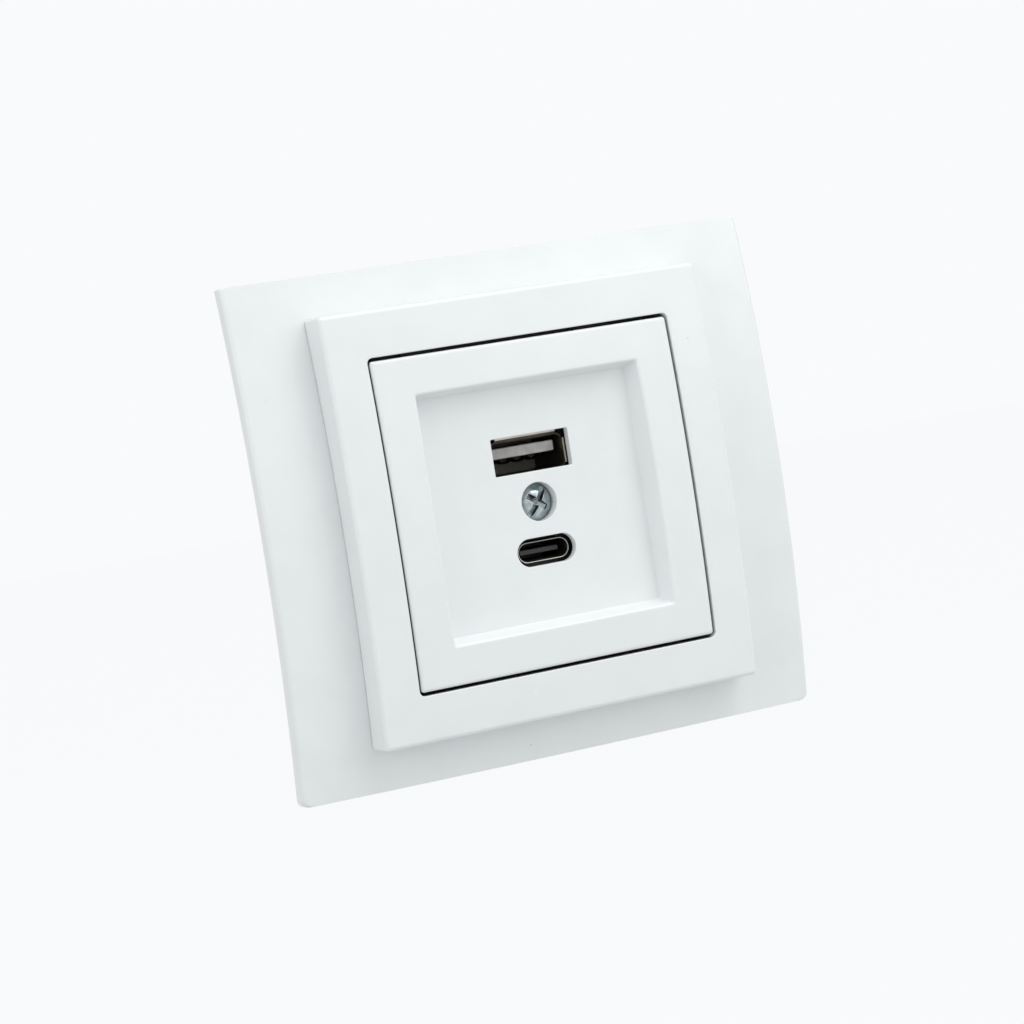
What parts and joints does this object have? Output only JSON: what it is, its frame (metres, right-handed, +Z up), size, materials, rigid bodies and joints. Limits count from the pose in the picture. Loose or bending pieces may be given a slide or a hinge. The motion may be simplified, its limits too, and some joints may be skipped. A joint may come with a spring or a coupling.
{
  "type": "usb wall socket",
  "caption": "Flush wall socket with a bowed white frame, raised ring, recessed centre cover, two charging ports, steel bridge, claws and mains module.",
  "frame": {"origin": "middle of the box-screw pattern, on the wall's surface", "axes": "+X to the right, +Y into the wall, +Z up"},
  "size_m": [0.0906, 0.0437, 0.0808],
  "materials": {
    "white_moulding": "glossy white moulding with a faint cool tint",
    "module_moulding": "satin black moulding",
    "terminal_moulding": "satin light grey moulding",
    "port_insulator": "light grey moulded insulator",
    "black_insulator": "black moulded insulator",
    "zinc_screw": "bright zinc plate with a bluish tint",
    "zinc_plate": "zinc-plated pressed steel",
    "tin_shell": "tin-plated folded steel",
    "brass_parts": "machined brass",
    "copper_bars": "stamped copper",
    "gold_contacts": "thin gold plate",
    "board_laminate": "green board laminate",
    "ferrite": "dark sintered ferrite",
    "winding_tape": "yellow polyester tape",
    "can_aluminium": "drawn aluminium can",
    "can_sleeve": "dark shrunk sleeve",
    "disc_coating": "blue dipped coating"
  },
  "bodies": {
    "socket": {"frame_plate": "white_moulding", "trim_ring": "white_moulding", "centre_cover": "white_moulding", "cover_screw": "zinc_screw", "screw_insert": "brass_parts", "mounting_bridge": "zinc_plate", "module_screws": "zinc_screw", "front_housing": "module_moulding", "rear_housing": "module_moulding", "usb_a_shell": "tin_shell", "usb_a_tongue": "port_insulator", "usb_a_contacts": "gold_contacts", "usb_c_shell": "tin_shell", "usb_c_tongue": "black_insulator", "usb_c_contacts": "gold_contacts", "usb_board": "board_laminate", "main_board": "board_laminate", "board_pins": "gold_contacts", "transformer_core": "ferrite", "transformer_winding": "winding_tape", "output_capacitors": "can_aluminium", "controller_chip": "black_insulator", "output_inductor": "ferrite", "input_capacitor": "can_sleeve", "fuse": "black_insulator", "safety_capacitor": "disc_coating", "rectifier": "black_insulator", "terminal_block": "terminal_moulding", "line_bar": "copper_bars", "neutral_bar": "copper_bars", "left_claw_pin": "zinc_screw", "right_claw_pin": "zinc_screw"},
    "line_cage": {"line_cage": "brass_parts"},
    "neutral_cage": {"neutral_cage": "brass_parts"},
    "line_screw": {"line_screw": "zinc_screw"},
    "neutral_screw": {"neutral_screw": "zinc_screw"},
    "left_claw": {"left_claw": "zinc_plate"},
    "left_claw_nut": {"left_claw_nut": "zinc_screw"},
    "left_claw_screw": {"left_claw_screw": "zinc_screw"},
    "right_claw": {"right_claw": "zinc_plate"},
    "right_claw_nut": {"right_claw_nut": "zinc_screw"},
    "right_claw_screw": {"right_claw_screw": "zinc_screw"}
  },
  "joints": [
    {"name": "left_claw_nut_slide", "type": "slide", "parent": "socket", "child": "left_claw_nut", "axis": [0, -1, 0], "range_m": [0, 0.00206]},
    {"name": "left_claw_swing", "type": "hinge", "parent": "socket", "child": "left_claw", "pos_m": [-0.0215, 0.012, 0], "axis": [0, 0, 1], "range_deg": [0, 28.02]},
    {"name": "left_claw_screw_turn", "type": "hinge", "parent": "socket", "child": "left_claw_screw", "pos_m": [-0.026, 0, 0], "axis": [0, 1, 0], "range_deg": [0, 1236.5]},
    {"name": "right_claw_nut_slide", "type": "slide", "parent": "socket", "child": "right_claw_nut", "axis": [0, -1, 0], "range_m": [0, 0.00206]},
    {"name": "right_claw_swing", "type": "hinge", "parent": "socket", "child": "right_claw", "pos_m": [0.0215, 0.012, 0], "axis": [0, 0, -1], "range_deg": [0, 28.02]},
    {"name": "right_claw_screw_turn", "type": "hinge", "parent": "socket", "child": "right_claw_screw", "pos_m": [0.026, 0, 0], "axis": [0, 1, 0], "range_deg": [0, 1236.5]},
    {"name": "line_cage_slide", "type": "slide", "parent": "socket", "child": "line_cage", "axis": [0, 1, 0], "range_m": [0, 0.0026]},
    {"name": "line_screw_turn", "type": "hinge", "parent": "socket", "child": "line_screw", "pos_m": [-0.0065, 0, -0.015], "axis": [0, -1, 0], "range_deg": [0, 1872.5]},
    {"name": "neutral_cage_slide", "type": "slide", "parent": "socket", "child": "neutral_cage", "axis": [0, 1, 0], "range_m": [0, 0.0026]},
    {"name": "neutral_screw_turn", "type": "hinge", "parent": "socket", "child": "neutral_screw", "pos_m": [0.0065, 0, -0.015], "axis": [0, -1, 0], "range_deg": [0, 1872.5]}
  ],
  "couplings": [
    {"joint": "left_claw_swing", "follows": "left_claw_nut_slide", "rad_per_m": 237.23},
    {"joint": "left_claw_screw_turn", "follows": "left_claw_nut_slide", "rad_per_m": 10472},
    {"joint": "right_claw_swing", "follows": "right_claw_nut_slide", "rad_per_m": 237.23},
    {"joint": "right_claw_screw_turn", "follows": "right_claw_nut_slide", "rad_per_m": 10472},
    {"joint": "line_screw_turn", "follows": "line_cage_slide", "rad_per_m": 12566},
    {"joint": "neutral_screw_turn", "follows": "neutral_cage_slide", "rad_per_m": 12566}
  ]
}
